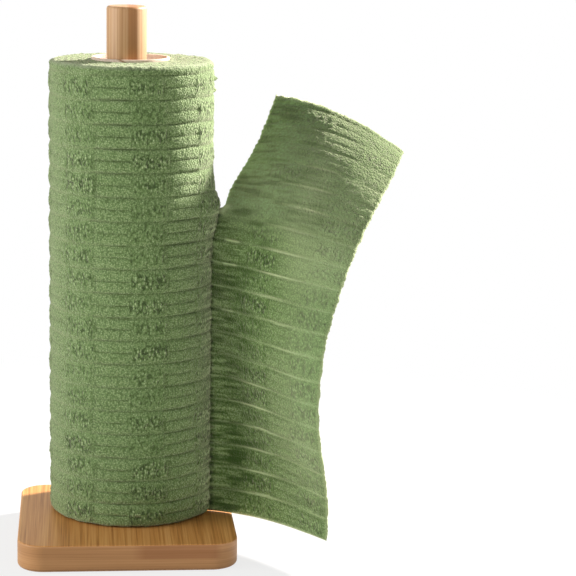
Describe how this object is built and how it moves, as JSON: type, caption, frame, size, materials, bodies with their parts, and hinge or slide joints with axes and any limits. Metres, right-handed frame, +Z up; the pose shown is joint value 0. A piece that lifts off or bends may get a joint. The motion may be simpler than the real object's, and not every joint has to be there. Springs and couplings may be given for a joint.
{
  "type": "cleaning cloth roll",
  "caption": "Roll of ribbed terry cleaning cloth on a square bamboo stand with an upright post. The outer cloth is torn part way down and hangs out to the right.",
  "frame": {"origin": "centre of the square plate's underside", "axes": "+Z up along the post, +X to the right, the side where the loose cloth hangs, +Y away from the viewer"},
  "size_m": [0.21, 0.1245, 0.2943],
  "materials": {
    "bamboo": "satin",
    "screw_steel": "satin",
    "core_board": "matte",
    "terry_cloth": "matte"
  },
  "bodies": {
    "stand": {"base_plate": "bamboo", "upright_post": "bamboo", "fixing_screw": "screw_steel"},
    "roll": {"core_tube": "core_board", "cloth_roll": "terry_cloth", "loose_sheet": "terry_cloth"}
  },
  "joints": [
    {"name": "roll_spin", "type": "hinge", "parent": "stand", "child": "roll", "pos_m": [0.00225, 0.01572, 0.0152], "axis": [0, 0, 1], "continuous": true}
  ]
}
